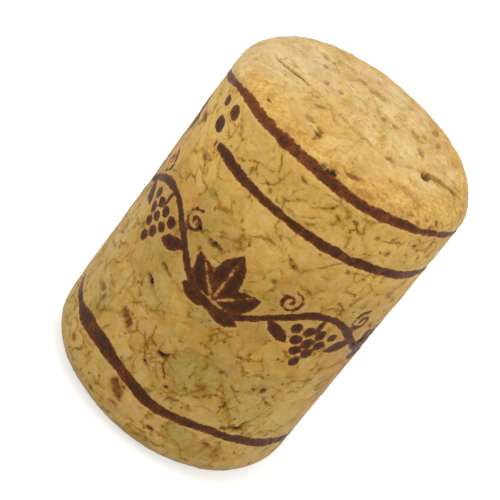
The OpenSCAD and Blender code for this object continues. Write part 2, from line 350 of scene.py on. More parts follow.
LOW_STRIPE = [
    (-166, 6.2, 0.7), (-156, 5.6, 0.8), (-149, 5.4, 0.8), (-142, 5.5, 1.3), (-133, 5.75, 1.6),
    (-120, 5.95, 1.55), (-110, 5.75, 1), (-98, 5.4, 1.1), (-92, 5.15, 1.3), (-85, 5.1, 1), (-80, 5.3, 0.65),
    (-75, 5.5, 0.95), (-62, 5.85, 0.75), (-55, 5.75, 0.75), (-45, 5.75, 0.9), (-35, 5.6, 1.1),
    (-15, 5.3, 0.9), (20, 5.5, 0.8), (60, 5.2, 1), (110, 5.6, 0.9), (160, 5.4, 1), (184, 5.8, 0.8),
]
LOW_TAPER = 0.02  # share of the lower stripe's length over which each end is pointed
DOTS = [
    (-149, 29.1, 1), (-139.3, 29.4, 1.35), (-143, 27.5, 1.4),
]

# Where the ink is thin or rubbed: (angle, height, size, strength)
WORN = [
    (-94, 26.6, 0.6, 1.2), (-63, 26.5, 0.6, 1.2), (-107, 31.4, 0.6, 1.2), (-160, 5.9, 2.4, 1),
    (-135, 31, 5, 0.6), (-122, 31.2, 2, 0.5), (-100, 31.4, 1.2, 0.8), (-78, 31.1, 1.4, 0.6),
    (-58, 31.1, 1, 0.7), (-40, 30.8, 1.6, 0.5), (-82, 26.6, 1.2, 0.5), (-44, 26.3, 1.4, 0.5),
    (-132, 5.8, 1.2, 0.7), (-106, 5.8, 1.6, 0.5), (-86, 5.2, 0.8, 0.7), (-60, 5.8, 1.2, 0.4),
    (-92, 15.6, 1.4, 0.7), (-98, 18, 1, 0.6), (-56, 18.9, 1.2, 0.6), (-125, 19.4, 1, 0.6),
    (-30, 26, 1, 0.5), (-142, 18, 1.2, 0.5),
]
# Where the middle stripe ends, it turns down in a drop.
STRIPE_END = [
    (176, 27.3), (181, 27.3), (185, 27), (188.5, 26.3), (190.5, 25.4), (192, 24.1), (193, 22.4),
]
END_W, DROP_W = 0.42, 0.56  # half widths of that end and of its drop

VINE_Z = 18.2  # middle height of the ornament
VINE_RISE = 2.2  # how far the stem swings up and down
VINE_TURNS = 4  # swings in one round
VINE_CREST = -140  # angle of one of its crests
VINE_STEP = 1.5  # angle between points of the stem
STEM_W, CURL_W = 0.72, 0.34
BERRY_R, BERRY_STEP = 0.53, 1.22
BERRY_ROW = 0.88  # height of a row of berries, as a share of their step
BUNCH_DROP = 1.9  # from the crest to the first row
# A petal is (turn, length, width).
LOBES = [(0, 5.6, 2.5), (46, 4.6, 2.1), (-46, 4.6, 2.1), (92, 3.0, 1.7), (-92, 3.0, 1.7)]
STALK = (0, 2.0, 0.5)
SPRIG_L, SPRIG_W, SPRIG_TURN = 2.9, 1.25, 62  # the small leaves on the stem
VEIN = 0.18  # width of a leaf's unburnt veins
VEIN_START, VEIN_SHARE = 0.5, 0.72  # where a vein begins, and its share of the lobe
LEAF_LIFT = 0.1  # from the trough to the leaf's stalk
CURL_POINTS, CURL_TURN = 15, 34  # points of a tendril, and degrees between them
CURL_REACH, CURL_SHRINK = 1.15, 0.068
CURL_SHIFT, CURL_RISE = 3.4, 2.4  # degrees and mm from the stem to a tendril


# ---- Node maths ----

class Value:
    """A node's output, so that fields can be written as sums and products."""

    def __init__(self, graph, socket):
        self.graph, self.socket = graph, socket

    def __add__(self, other):
        return self.graph.math("ADD", self, other)

    def __sub__(self, other):
        return self.graph.math("SUBTRACT", self, other)

    def __rsub__(self, other):
        return self.graph.math("SUBTRACT", other, self)

    def __mul__(self, other):
        return self.graph.math("MULTIPLY", self, other)

    __radd__ = __add__


class Graph:
    """Adds nodes to a tree. The same calls work in a material and in geometry nodes, so one
    field can both move the surface and colour it."""

    def __init__(self, tree):
        self.tree = tree
        self.shader = tree.bl_idname == "ShaderNodeTree"

    def fill(self, socket, value):
        """Links a socket to a value, or sets it to a number."""
        if isinstance(value, Value):
            value = value.socket
        if isinstance(value, bpy.types.NodeSocket):
            self.tree.links.new(value, socket)
        else:
            socket.default_value = value

    def node(self, kind, settings=None, terms=(), **inputs):
        """A new node. Terms fill its inputs in order, and names have _ for each space."""
        node = self.tree.nodes.new(kind)
        for name, value in (settings or {}).items():
            setattr(node, name, value)
        for socket, value in zip(node.inputs, terms):
            self.fill(socket, value)
        for name, value in inputs.items():
            self.fill(node.inputs[name.replace("_", " ")], value)
        return node

    def field(self, kind, settings=None, terms=(), output=0, **inputs):
        """The output of a new node."""
        return Value(self, self.node(kind, settings, terms, **inputs).outputs[output])

    def show(self, shader, kind="ShaderNodeOutputMaterial"):
        """Ends the tree with this shader."""
        self.node(kind, Surface=shader.outputs[0])

    def math(self, operation, *terms):
        return self.field("ShaderNodeMath", {"operation": operation}, terms)

    def vector_math(self, operation, *terms):
        return self.field("ShaderNodeVectorMath", {"operation": operation}, terms)

    def most(self, *values):
        """The largest of these."""
        return reduce(lambda first, second: self.math("MAXIMUM", first, second), values)

    def step(self, value, low, high):
        """0 below low, 1 above high, and a soft change between. Low may be above high."""
        return self.field("ShaderNodeMapRange", {"interpolation_type": "SMOOTHSTEP"},
                          (value, low, high))

    def stretch(self, vector, factors):
        """A vector or colour times another, part by part."""
        return self.vector_math("MULTIPLY", vector, factors)

    def scale(self, vector, factor):
        """A vector or colour times a number."""
        return self.field("ShaderNodeVectorMath", {"operation": "SCALE"}, (vector,), Scale=factor)

    def split(self, vector):
        return [Value(self, s) for s in self.node("ShaderNodeSeparateXYZ", Vector=vector).outputs]

    def join(self, *parts):
        return self.field("ShaderNodeCombineXYZ", None, parts)

    def noise(self, place, size, detail=2.0, rough=0.5, shift=None, output=0):
        """Noise of 0 to 1, with lumps about size mm wide, and another for each shift."""
        if shift:
            place = self.vector_math("ADD", place, shift)
        return self.field("ShaderNodeTexNoise", output=output, Vector=place, Scale=1 / size,
                          Detail=detail, Roughness=rough)

    def warp(self, place, size, amount):
        """Place moved by noise, by up to about half of amount."""
        push = self.vector_math("SUBTRACT", self.noise(place, size, output=1), (0.5, 0.5, 0.5))
        return self.vector_math("ADD", place, self.scale(push, amount))

    def cells(self, place, size):
        """Cells about size mm wide: distance in mm to their middle, and a random vector each."""
        node = self.node("ShaderNodeTexVoronoi", Vector=place, Scale=1 / size)
        return Value(self, node.outputs["Distance"]) * size, Value(self, node.outputs["Color"])

    def borders(self, place, size):
        """Distance in mm to the border between the same cells."""
        return self.field("ShaderNodeTexVoronoi", {"feature": "DISTANCE_TO_EDGE"},
                          output="Distance", Vector=place, Scale=1 / size) * size

    def attribute(self, name, vector=False):
        """A number or a vector that the mesh keeps for each vertex."""
        if self.shader:
            return self.field("ShaderNodeAttribute", {"attribute_name": name},
                              output="Vector" if vector else "Fac")
        kind = "FLOAT_VECTOR" if vector else "FLOAT"
        return self.field("GeometryNodeInputNamedAttribute", {"data_type": kind}, Name=name)

    def mix(self, amount, first, second):
        """Mixes two colours, which are the node's inputs 6 and 7."""
        node = self.node("ShaderNodeMix", {"data_type": "RGBA"}, (amount,))
        self.fill(node.inputs[6], first)
        self.fill(node.inputs[7], second)
        return Value(self, node.outputs[2])

    def lay(self, base, *layers):
        """Lays tints over a colour in order. A layer is (tint, amount), or (tint, field, where it
        begins, where it is full, its greatest amount)."""
        for tint, amount, *more in layers:
            if more:
                begin, full, most = more
                amount = self.step(amount, begin, full) * most
            base = self.mix(amount, base, tint)
        return base


def fresh_graph(owner):
    """The emptied node tree of a material or world."""
    owner.use_nodes = True
    owner.node_tree.nodes.clear()
    return Graph(owner.node_tree)


def seen_directly(graph):
    """1 for rays from the camera or off a shiny surface, 0 for those that only carry light."""
    path = graph.node("ShaderNodeLightPath")
    return graph.math("MAXIMUM", path.outputs["Is Camera Ray"], path.outputs["Is Glossy Ray"])


# ---- Camera, floor and light ----

def add_object(name, data):
    """A new object in the scene."""
    made = bpy.data.objects.new(name, data)
    bpy.context.scene.collection.objects.link(made)
    return made


def make_camera():
    """Looks down at the shown side, turned so that the stopper leans to the right."""
    centre = Vector((0, 0, BODY_H / 2 * MM))
    up_angle, roll = math.radians(ELEVATION), math.radians(ROLL)
    back = Vector((0, -math.cos(up_angle), math.sin(up_angle)))
    level = Vector((1, 0, 0))
    rise = back.cross(level)
    right = level * math.cos(roll) + rise * math.sin(roll)
    up = rise * math.cos(roll) - level * math.sin(roll)
    place = centre + back * DISTANCE * MM
    aim = centre + (right * AIM_RIGHT + up * AIM_UP) * MM
    axis_z = (place - aim).normalized()
    axis_x = up.cross(axis_z).normalized()
    axis_y = axis_z.cross(axis_x)
    camera = add_object("camera", bpy.data.cameras.new("camera"))
    camera.data.lens = LENS
    camera.data.clip_start = CLIP_START
    turn = Matrix((axis_x, axis_y, axis_z)).transposed().to_4x4()
    camera.matrix_world = Matrix.Translation(place) @ turn
    bpy.context.scene.camera = camera


def make_lamp(name, place, aim, size, power):
    """Square soft box."""
    data = bpy.data.lights.new(name, "AREA")
    data.shape = "SQUARE"
    data.size = size * MM
    data.energy = power
    lamp = add_object(name, data)
    place, aim = Vector(place) * MM, Vector(aim) * MM
    lamp.location = place
    lamp.rotation_mode = "QUATERNION"
    lamp.rotation_quaternion = (place - aim).to_track_quat("Z", "Y")


def light_scene():
    """An even, pale surround, a large soft box above and in front, and one at each side."""
    world = bpy.data.worlds.new("studio")
    bpy.context.scene.world = world
    graph = fresh_graph(world)
    strength = graph.math("MULTIPLY_ADD", seen_directly(graph), 1.0 - SURROUND, SURROUND)
    back = graph.node("ShaderNodeBackground", Color=WHITE, Strength=strength)
    graph.show(back, "ShaderNodeOutputWorld")
    for name, lamp in LAMPS.items():
        make_lamp(name, *lamp)


def make_floor():
    """A wide floor. To the camera it is white, darkened only by the shadow on it."""
    mesh = bpy.data.meshes.new("floor")
    corners = [(x * FLOOR_HALF, y * FLOOR_HALF, 0) for x, y in ((-1, -1), (1, -1), (1, 1), (-1, 1))]
    mesh.from_pydata(corners, [], [(0, 1, 2, 3)])
    floor = add_object("floor", mesh)
    material = bpy.data.materials.new("floor")
    graph = fresh_graph(material)
    glow = graph.node("ShaderNodeEmission", Color=WHITE, Strength=seen_directly(graph) * FLOOR_GREY)
    matt = graph.node("ShaderNodeBsdfDiffuse", Color=(FLOOR_GREY, FLOOR_GREY, FLOOR_GREY, 1))
    graph.show(graph.node("ShaderNodeAddShader", None, (glow.outputs[0], matt.outputs[0])))
    mesh.materials.append(material)


# ---- Mesh ----

def arc_radius(reach, rise):
    """Radius of an arc that has left its tangent by rise after reach along it."""
    return (reach ** 2 + rise ** 2) / (2 * rise)


def arc(centre, radius, first, last):
    """Points on an arc between two angles, in radians."""
    x, z = centre
    turns = np.arange(first, last, SECTION_STEP / radius)
    return [(x + radius * math.cos(t), z + radius * math.sin(t)) for t in turns]


def section():
    """Half section from the foot's middle, up the side and in to the crown: (radius, height)."""
    foot_r = arc_radius(FOOT_RIM_H, FOOT_RIM_W)
    top_r = arc_radius(TOP_RIM_H, TOP_RIM_W)
    crown_r = arc_radius(FACE_R, CROWN_H)
    points = [(x, 0.0) for x in np.arange(0, FOOT_R, SECTION_STEP)]
    points += arc((BODY_R - foot_r, SIDE_LOW_Z), foot_r, -math.asin(FOOT_RIM_H / foot_r), 0)
    points += [(BODY_R, z) for z in np.arange(SIDE_LOW_Z, SIDE_HIGH_Z, SECTION_STEP)]
    points += arc((BODY_R - top_r, SIDE_HIGH_Z), top_r, 0, math.asin(TOP_RIM_H / top_r))
    for x in np.arange(FACE_R, 0, -SECTION_STEP):
        points.append((x, BODY_H - crown_r + math.sqrt(crown_r ** 2 - x ** 2)))
    return soften(np.array(points + [(0.0, BODY_H)]))


def soften(points):
    """Averages a section along its length, mirrored past both of its ends."""
    spread = 2 * int(EDGE_SOFT / SECTION_STEP)
    kernel = np.hanning(2 * spread + 1)
    kernel /= kernel.sum()
    before = points[1:spread + 1][::-1] * (-1, 1)
    after = points[-spread - 1:-1][::-1] * (-1, 1)
    padded = np.concatenate([before, points, after])
    soft = np.stack([np.convolve(column, kernel, "valid") for column in padded.T], 1)
    soft[0], soft[-1] = points[0], points[-1]
    return soft


def ring_size(radius):
    """Points in a ring. Towards the middle of an end, a ring has half those of the one outside."""
    n = ROUND
    while n > FEWEST and radius < FACE_R * SHRINK * n / ROUND:
        n //= 2
    return n


def ring_plan():
    """Rings from the foot's middle to the crown, as (radius, height, distance along the section,
    points), and the section's length."""
    line = section()
    walk = np.concatenate([[0], np.cumsum(np.hypot(*np.diff(line, axis=0).T))])
    half = len(line) // 2
    edge_low = np.interp(FOOT_R, line[:half, 0], walk[:half])
    edge_top = walk[-1] - FACE_R
    inner = np.arange(FACE_STEP, edge_low, FACE_STEP)
    side = np.linspace(edge_low, edge_top, int((edge_top - edge_low) / RING_STEP) + 1)
    outer = walk[-1] - np.arange(FACE_STEP, FACE_R - FACE_STEP / 2, FACE_STEP)[::-1]
    places = np.concatenate([inner, side, outer])
    radius = np.interp(places, walk, line[:, 0])
    height = np.interp(places, walk, line[:, 1])
    return [(r, z, s, ring_size(r)) for r, z, s in zip(radius, height, places)], walk[-1]


def body_faces(rings, total):
    """Faces between the rings, and a fan at each pole. A corner of a face is (vertex, share of
    the round, distance along the section)."""
    starts = np.cumsum([1] + [n for _, _, _, n in rings]).tolist()
    last = len(rings) - 1

    def corner(ring, k):
        _, _, s, n = rings[ring]
        return (starts[ring] + k % n, k / n, s)

    faces = []
    for i in range(last):
        n0, n1 = rings[i][3], rings[i + 1][3]
        few, many = (i, i + 1) if n1 > n0 else (i + 1, i)
        for k in range(min(n0, n1)):
            left, right = corner(few, k), corner(few, k + 1)
            if n0 == n1:
                faces.append((corner(i, k), corner(i, k + 1), right, left))
                continue
            first, middle, end = [corner(many, 2 * k + n) for n in range(3)]
            for face in ((left, middle, first), (left, right, middle), (right, end, middle)):
                faces.append(face if n1 > n0 else face[::-1])
    n = rings[0][3]
    faces += [((0, (k + 0.5) / n, 0.0), corner(0, k + 1), corner(0, k)) for k in range(n)]
    n, tip = rings[last][3], starts[-1]
    faces += [(corner(last, k), corner(last, k + 1), (tip, (k + 0.5) / n, total)) for k in range(n)]
    return faces


def uv_places(faces, rings, total):
    """The UV map's corners: the side as a strip, and above it each end as a disc."""
    top_cut = next(s for r, z, s, _ in rings if z > BODY_H / 2 and r < FACE_R - CUT_GAP)
    low_cut = [s for r, z, s, _ in rings if z < BODY_H / 2 and r < FOOT_R - CUT_GAP][-1]
    left, bottom, width, height = UV_STRIP

    def strip(share, s):
        return (left + width * share, bottom + height * (s - low_cut) / (top_cut - low_cut))

    def disc(share, s):
        turn = share * 2 * math.pi
        foot = s < total / 2
        reach, limit = (s, low_cut) if foot else (total - s, total - top_cut)
        size = UV_DISC_R * reach / limit
        middle = UV_FOOT_X if foot else UV_TOP_X
        return (middle + size * math.cos(turn), UV_DISC_Y + size * math.sin(turn))

    places = []
    for face in faces:
        on_side = all(low_cut - 1e-6 <= s <= top_cut + 1e-6 for _, _, s in face)
        places += [(strip if on_side else disc)(share, s) for _, share, s in face]
    return places


def build_body():
    """The stopper's mesh before its surface is roughened, and its vertices in mm."""
    rings, total = ring_plan()
    rest = [(0.0, 0.0, 0.0)]
    for r, z, _, n in rings:
        turn = np.radians(SEAM_ANGLE) + np.arange(n) * 2 * np.pi / n
        rest += list(zip(r * np.cos(turn), r * np.sin(turn), np.full(n, z)))
    rest = np.array(rest + [(0.0, 0.0, BODY_H)])
    faces = body_faces(rings, total)
    mesh = bpy.data.meshes.new(NODE)
    mesh.from_pydata((rest * MM).tolist(), [], [[vertex for vertex, _, _ in face] for face in faces])
    layer = mesh.uv_layers.new(name="OFBake")
    places = uv_places(faces, rings, total)
    layer.uv.foreach_set("vector", np.array(places, np.float32).ravel())
    mesh.shade_smooth()
    store(mesh, "rest", rest)
    return mesh, rest


def store(mesh, name, values):
    """Keeps a number or a vector for each vertex, for the nodes to read."""
    kind, field = ("FLOAT_VECTOR", "vector") if values.ndim == 2 else ("FLOAT", "value")
    layer = mesh.attributes.new(name, kind, "POINT")
    layer.data.foreach_set(field, np.asarray(values, np.float32).ravel())


# ---- Where each vertex lies ----

class Sheet:
    """The side unrolled, or an end, in mm: where each vertex lies on it."""

    def __init__(self, u, v, scale, period):
        self.u, self.v, self.scale, self.period = u, v, scale, period

    def across(self, u):
        """Distance to the right of place u, the short way round."""
        gap = self.u - u * self.scale
        if self.period:
            gap = (gap + self.period / 2) % self.period - self.period / 2
        return gap

    def turned(self, u, v, lean):
        """Distances from a place, along its lean and across it."""
        x, y = self.across(u), self.v - v
        c, s = math.cos(math.radians(lean)), math.sin(math.radians(lean))
        return x * c + y * s, y * c - x * s

    def oval(self, u, v, length, width, lean):
        """Share of the way out of an oval: 0 in its middle, 1 at its edge."""
        x, y = self.turned(u, v, lean)
        return np.hypot(x / (length / 2), y / (width / 2))

    def stroke(self, points):
        """For each vertex: distance to the line through the points, signed distance across it,
        share of its length at the nearest point, and how far the vertex lies past its end."""
        count = len(self.u)
        near, across = np.full(count, 1e9), np.full(count, 1e9)
        share, past = np.zeros(count), np.zeros(count)
        spans = [((u1 - u0) * self.scale, v1 - v0) for (u0, v0), (u1, v1) in zip(points, points[1:])]
        lengths = [max(math.hypot(*span), 1e-6) for span in spans]
        for k, ((u0, v0), (du, dv), length) in enumerate(zip(points, spans, lengths)):
            tu, tv = du / length, dv / length
            x, y = self.across(u0), self.v - v0
            along, side = x * tu + y * tv, x * tv - y * tu
            held = np.clip(along, 0, length)
            reach = np.hypot(x - held * tu, y - held * tv)
            over = np.zeros(count)
            if k == 0:
                over = np.maximum(over, -along)
            if k == len(lengths) - 1:
                over = np.maximum(over, along - length)
            closer = reach < near
            near = np.where(closer, reach, near)
            across = np.where(closer, np.where(side < 0, -reach, reach), across)
            share = np.where(closer, (sum(lengths[:k]) + held) / sum(lengths), share)
            past = np.where(closer, over, past)
        return near, across, share, past


# ---- Stripes and ornament ----

def smooth_line(points, step=3, fine=0.5, spread=8):
    """Knots every step degrees along a soft curve through the given ones."""
    knots = np.array(points, float)
    turns = np.arange(knots[0, 0], knots[-1, 0] + 0.1, fine)
    kernel = np.hanning(2 * spread + 1)
    columns = [turns]
    for values in knots.T[1:]:
        line = np.interp(turns, knots[:, 0], values)
        padded = np.concatenate([np.full(spread, line[0]), line, np.full(spread, line[-1])])
        columns.append(np.convolve(padded, kernel / kernel.sum(), "valid"))
    return np.stack(columns, 1)[::int(step / fine)]


def stripe_depth(side, knots, taper=0.0):
    """Distance inside a stripe: above 0 in the stripe."""
    line = smooth_line(knots)
    near, _, share, _ = side.stroke(line[:, :2])
    half = np.interp(share, np.linspace(0, 1, len(line)), line[:, 2]) / 2
    if taper:
        half = half * np.clip(np.minimum(share, 1 - share) / taper, 0, 1) ** 0.5
    return half - near


def petal_depth(x, y, turn, length, width):
    """Distance inside a pointed oval that starts at the origin and runs upward, turned."""
    c, s = math.cos(math.radians(turn)), math.sin(math.radians(turn))
    px, py = x * c + y * s, y * c - x * s - length / 2
    radius = arc_radius(length / 2, width / 2)
    return radius - np.hypot(np.abs(px) + radius - width / 2, py)


def leaf_depth(x, y):
    """A vine leaf of five lobes, each with a fine unburnt vein. Its stalk ends at the origin."""
    lobes = [petal_depth(x, y, *lobe) for lobe in LOBES]
    veins = [petal_depth(x, y - VEIN_START, turn, length * VEIN_SHARE, VEIN)
             for turn, length, _ in LOBES]
    return np.minimum(np.max(lobes, axis=0), -np.max(veins, axis=0))


def bunch_depth(x, y):
    """Round berries in rows of four, three, two and one, under a short stalk."""
    depth = petal_depth(x, y, *STALK)
    for row in range(4):
        for n in range(4 - row):
            px = x - (n - (3 - row) / 2) * BERRY_STEP
            py = y + row * BERRY_STEP * BERRY_ROW
            depth = np.maximum(depth, BERRY_R - np.hypot(px, py))
    return depth


def tendril(angle, height, way):
    """Points of a curl that winds in on itself: (angle, height)."""
    points = []
    for k in range(CURL_POINTS):
        turn, reach = math.radians(k * CURL_TURN), CURL_REACH - CURL_SHRINK * k
        across = way * (reach * math.sin(turn))
        points.append((angle + across / math.radians(1) / BODY_R, height + reach * math.cos(turn)))
    return points


def vine_depth(side):
    """A running stem with leaves in its troughs and bunches of berries under its crests."""
    period = 360 / VINE_TURNS
    crest, trough = VINE_Z + VINE_RISE, VINE_Z - VINE_RISE
    stem = []
    for k in range(int(360 / VINE_STEP) + 1):
        a = VINE_CREST + k * VINE_STEP
        swing = math.cos(math.radians((a - VINE_CREST) * VINE_TURNS))
        stem.append((a, VINE_Z + VINE_RISE * swing))
    z = side.v
    depths = [STEM_W / 2 - side.stroke(stem)[0]]
    for k in range(VINE_TURNS):
        depths.append(bunch_depth(side.across(VINE_CREST + k * period), z - crest + BUNCH_DROP))
        middle = VINE_CREST + (k + 0.5) * period
        depths.append(leaf_depth(side.across(middle), z - trough - LEAF_LIFT))
        for way in (-1, 1):
            a = middle + 0.25 * way * period
            turn = 180 + SPRIG_TURN * way
            depths.append(petal_depth(side.across(a), z - VINE_Z, turn, SPRIG_L, SPRIG_W))
            curl = tendril(a + CURL_SHIFT * way, VINE_Z + CURL_RISE, way)
            depths.append(CURL_W / 2 - side.stroke(curl)[0])
    return np.max(depths, axis=0)


def ink_depth(side):
    """Distance inside the burnt lines: above 0 in them."""
    depths = [stripe_depth(side, TOP_STRIPE), stripe_depth(side, MID_STRIPE),
              stripe_depth(side, LOW_STRIPE, LOW_TAPER), vine_depth(side)]
    depths += [size / 2 - np.hypot(side.across(a), side.v - z) for a, z, size in DOTS]
    near, _, share, _ = side.stroke(STRIPE_END)
    drop = END_W * (1 - share) + DROP_W * np.sin(np.pi * share ** 1.5)
    return np.clip(np.max(depths + [drop - near], axis=0), -1, 1)


# ---- Marks kept on the mesh ----

def back_crack(draw):
    """A crack that wanders off from a random place."""
    angle, z = draw.uniform(*BACK_ANGLES), draw.uniform(*BACK_HEIGHTS)
    heading, bend = draw.gauss(0, 35), draw.gauss(0, 30)
    places = [(angle, z)]
    for _ in range(draw.choice((1, 2, 2, 3, 4))):
        length = draw.uniform(0.3, 0.7)
        angle += math.degrees(length * math.cos(math.radians(heading)) / BODY_R)
        z += length * math.sin(math.radians(heading))
        heading += bend + draw.gauss(0, 15)
        places.append((angle, z))
    width = draw.choice((0.12, 0.12, 0.14, 0.16, 0.2, 0.26))
    return (width, draw.uniform(0.3, 0.9), *places)


def back_pit(draw):
    """A pit or knot at a random place."""
    length = draw.choice((0.3, 0.4, 0.4, 0.5, 0.6, 0.9))
    return (draw.uniform(*BACK_ANGLES), draw.uniform(*BACK_HEIGHTS), length,
            length * draw.uniform(0.4, 0.9), draw.gauss(0, 20), length * 0.25, draw.uniform(0, 0.9))


def back_patch(draw):
    """A patch at a random place."""
    length = draw.uniform(2.0, 5.0)
    return (draw.uniform(-20, 200), draw.uniform(2, 30), length,
            length * draw.uniform(0.4, 0.8), draw.gauss(0, 15),
            draw.choice((OLIVE, RUST, PALE, PALE)), draw.uniform(0.3, 0.8))


def crack_layer(sheet, cracks):
    """Signed distance across the nearest crack, its half width there, and its darkness."""
    best = np.full(len(sheet.u), 1e9)
    layer = np.tile([0.0, -1.0, 0.0], (len(sheet.u), 1))
    for width, dark, *places in cracks:
        near, across, share, past = sheet.stroke(places)
        half = width / 2 * (1 - CRACK_POINTED * np.abs(2 * share - 1) ** 3) - past
        half -= np.clip((near - CRACK_REACH) / CRACK_FADE, 0, 1)
        closer = near < best
        best = np.where(closer, near, best)
        layer[closer, 0] = np.clip(across, -1, 1)[closer]
        layer[closer, 1] = np.clip(half, -1, 1)[closer]
        layer[closer, 2] = dark
    return layer


def pit_layer(sheet, pits):
    """Distance inside the nearest pit, its depth, and its darkness: its share of painted shade."""
    layer = np.tile([-1.0, 0.0, 0.0], (len(sheet.u), 1))
    for u, v, length, width, lean, depth, dark in pits:
        inside = (1 - sheet.oval(u, v, length, width, lean)) * width / 2
        deeper = inside > layer[:, 0]
        layer[deeper, 0] = inside[deeper]
        layer[deeper, 1:] = depth, dark
    return layer


def patch_layer(sheet, patches):
    """Strength of the olive, rust and pale patches."""
    layer = np.zeros((len(sheet.u), 3))
    for u, v, length, width, lean, kind, strength in patches:
        share = sheet.oval(u, v, length, width, lean)
        layer[:, kind] = np.maximum(layer[:, kind], strength * np.clip(1.6 - 1.2 * share, 0, 1))
    return layer


def wear_layer(side):
    """How far the ink is worn."""
    worn = np.zeros(len(side.u))
    for a, height, size, strength in WORN:
        far = np.hypot(side.across(a), side.v - height) / (size / 2)
        worn = np.maximum(worn, strength * np.clip(1.5 - far, 0, 1))
    return worn


def bulge_layer(rest):
    """How far the body swells: it isn't quite round or straight."""
    swell = np.zeros(len(rest))
    for a, height, spread, out in BULGES:
        turn = math.radians(a)
        middle = (BODY_R * math.cos(turn), BODY_R * math.sin(turn), height)
        far = np.linalg.norm(rest - np.array(middle), axis=1) / spread
        swell += out * np.exp(-far ** 2)
    return swell


def store_zones(mesh, angle, radius, z, face_r):
    """How far each vertex belongs to an end, and to the upper rim above its stripe: 0 to 1."""
    on_end = (z > BODY_H / 2) | (z < 0.5)
    store(mesh, "end", np.clip((face_r + END_EDGE - radius) / END_BLEND, 0, 1) * on_end)
    stripe = np.array(TOP_STRIPE)
    above = z - np.interp(angle, stripe[:, 0], stripe[:, 1])
    outer = np.clip((radius - RIM_INNER) / RIM_INNER_BLEND, 0, 1)
    store(mesh, "rim", np.clip(above / RIM_BLEND, 0, 1) * outer)


def store_marks(mesh, rest):
    """Works out for each vertex how it lies to the ink, cracks, pits and patches."""
    x, y, z = rest.T
    angle, radius = np.degrees(np.arctan2(y, x)), np.hypot(x, y)
    degree = math.radians(1) * BODY_R
    side = Sheet(angle * degree, z, degree, 2 * math.pi * BODY_R)
    upper = z > BODY_H / 2
    face = Sheet(np.where(upper, x, -x), y, 1.0, 0)
    face_r = np.where(upper, FACE_R, FOOT_R)
    on_face = np.where(upper, radius < face_r + FACE_EDGE, (radius < face_r) & (z < 0.1))

    def store_layer(name, layer, side_marks, face_marks):
        values = layer(side, side_marks)
        values[on_face] = layer(face, face_marks)[on_face]
        store(mesh, name, values)

    draw = random.Random(BACK_SEED)
    cracks = CRACKS + [back_crack(draw) for _ in range(BACK_CRACKS)]
    pits = PITS + [back_pit(draw) for _ in range(BACK_PITS)]
    patches = PATCHES + [back_patch(draw) for _ in range(BACK_PATCHES)]
    for n in range(CRACK_LAYERS):
        every = slice(n, None, CRACK_LAYERS)
        store_layer(f"crack{n}", crack_layer, cracks[every], FACE_CRACKS[every])
    store_layer("pit", pit_layer, pits, FACE_PITS)
    store_layer("patch", patch_layer, patches, FACE_PATCHES)
    store(mesh, "ink", np.where(radius < INK_R, -1, ink_depth(side)))
    store(mesh, "wear", wear_layer(side))
    store(mesh, "bulge", bulge_layer(rest))
    store_zones(mesh, angle, radius, z, face_r)


# ---- Surface ----
# Below, g is a Graph, and f holds the fields on it that several functions share.

def surface_fields(g):
    """Fields that both move and colour the surface. Two fine noises make every edge ragged."""
    f = SimpleNamespace(rest=g.attribute("rest", vector=True))
    f.end, f.rim = g.attribute("end"), g.attribute("rim")
    f.ragged = g.noise(f.rest, 0.45, 3, 0.6) - 0.5
    f.fuzzy = g.noise(f.rest, 0.16, 2, 0.6) - 0.5
    add_granules(g, f)
    add_cracks(g, f)
    # f.dark is how much of a pit is painted shade: 0 for a brown knot, 1 for an open hole.
    inside, f.depth, f.dark = g.split(g.attribute("pit", vector=True))
    f.inside = inside + f.ragged * 0.5 + f.fuzzy * 0.2
    swell = g.noise(f.rest, 1.7) - 0.5
    f.ink = g.attribute("ink") + f.ragged * 0.38 + f.fuzzy * 0.10 + swell * 0.42
    return f


def add_granules(g, f):
    """Granules of two sizes: distance to their seams, random tones, and how far the seams gape.
    Pebbles are the small round ones of the upper rim."""
    wavy = g.warp(g.warp(f.rest, 3.2, 2.2), 1.0, 1.05)
    shifted = g.vector_math("ADD", wavy, (31.0, 17.0, 5.0))
    f.edge, f.small_edge = g.borders(wavy, 4.6), g.borders(shifted, 1.9)
    f.tones = g.split(g.cells(wavy, 4.6)[1])
    f.small_tones = g.split(g.cells(shifted, 1.9)[1])
    f.gape = g.step(g.noise(f.rest, 2.4, 3), 0.5, 0.64)
    f.pebble_edge = g.borders(g.warp(f.rest, 1.5, 1.6), 1.9)


def add_cracks(g, f):
    """The dark core, soft stain and groove of the nearest crack in each layer."""
    f.core = f.halo = f.groove = 0.0
    fade = g.step(g.noise(f.rest, 0.8, 3, 0.6), 0.34, 0.58) * 0.5 + 0.55
    for n in range(CRACK_LAYERS):
        across, half, dark = g.split(g.attribute(f"crack{n}", vector=True))
        gap = g.math("ABSOLUTE", across + f.ragged * 0.55 + f.fuzzy * 0.22) - half
        dark = dark * (g.step(dark, 0.6, 0.95) * (1.0 - fade) + fade)
        f.core = g.most(f.core, g.step(gap + f.fuzzy * 0.16, 0.06, -0.05) * dark)
        f.halo = g.most(f.halo, g.step(gap + f.ragged * 0.4, 0.34, -0.02) * dark)
        f.groove = g.most(f.groove, g.step(gap, 0.14, -0.06) * dark)


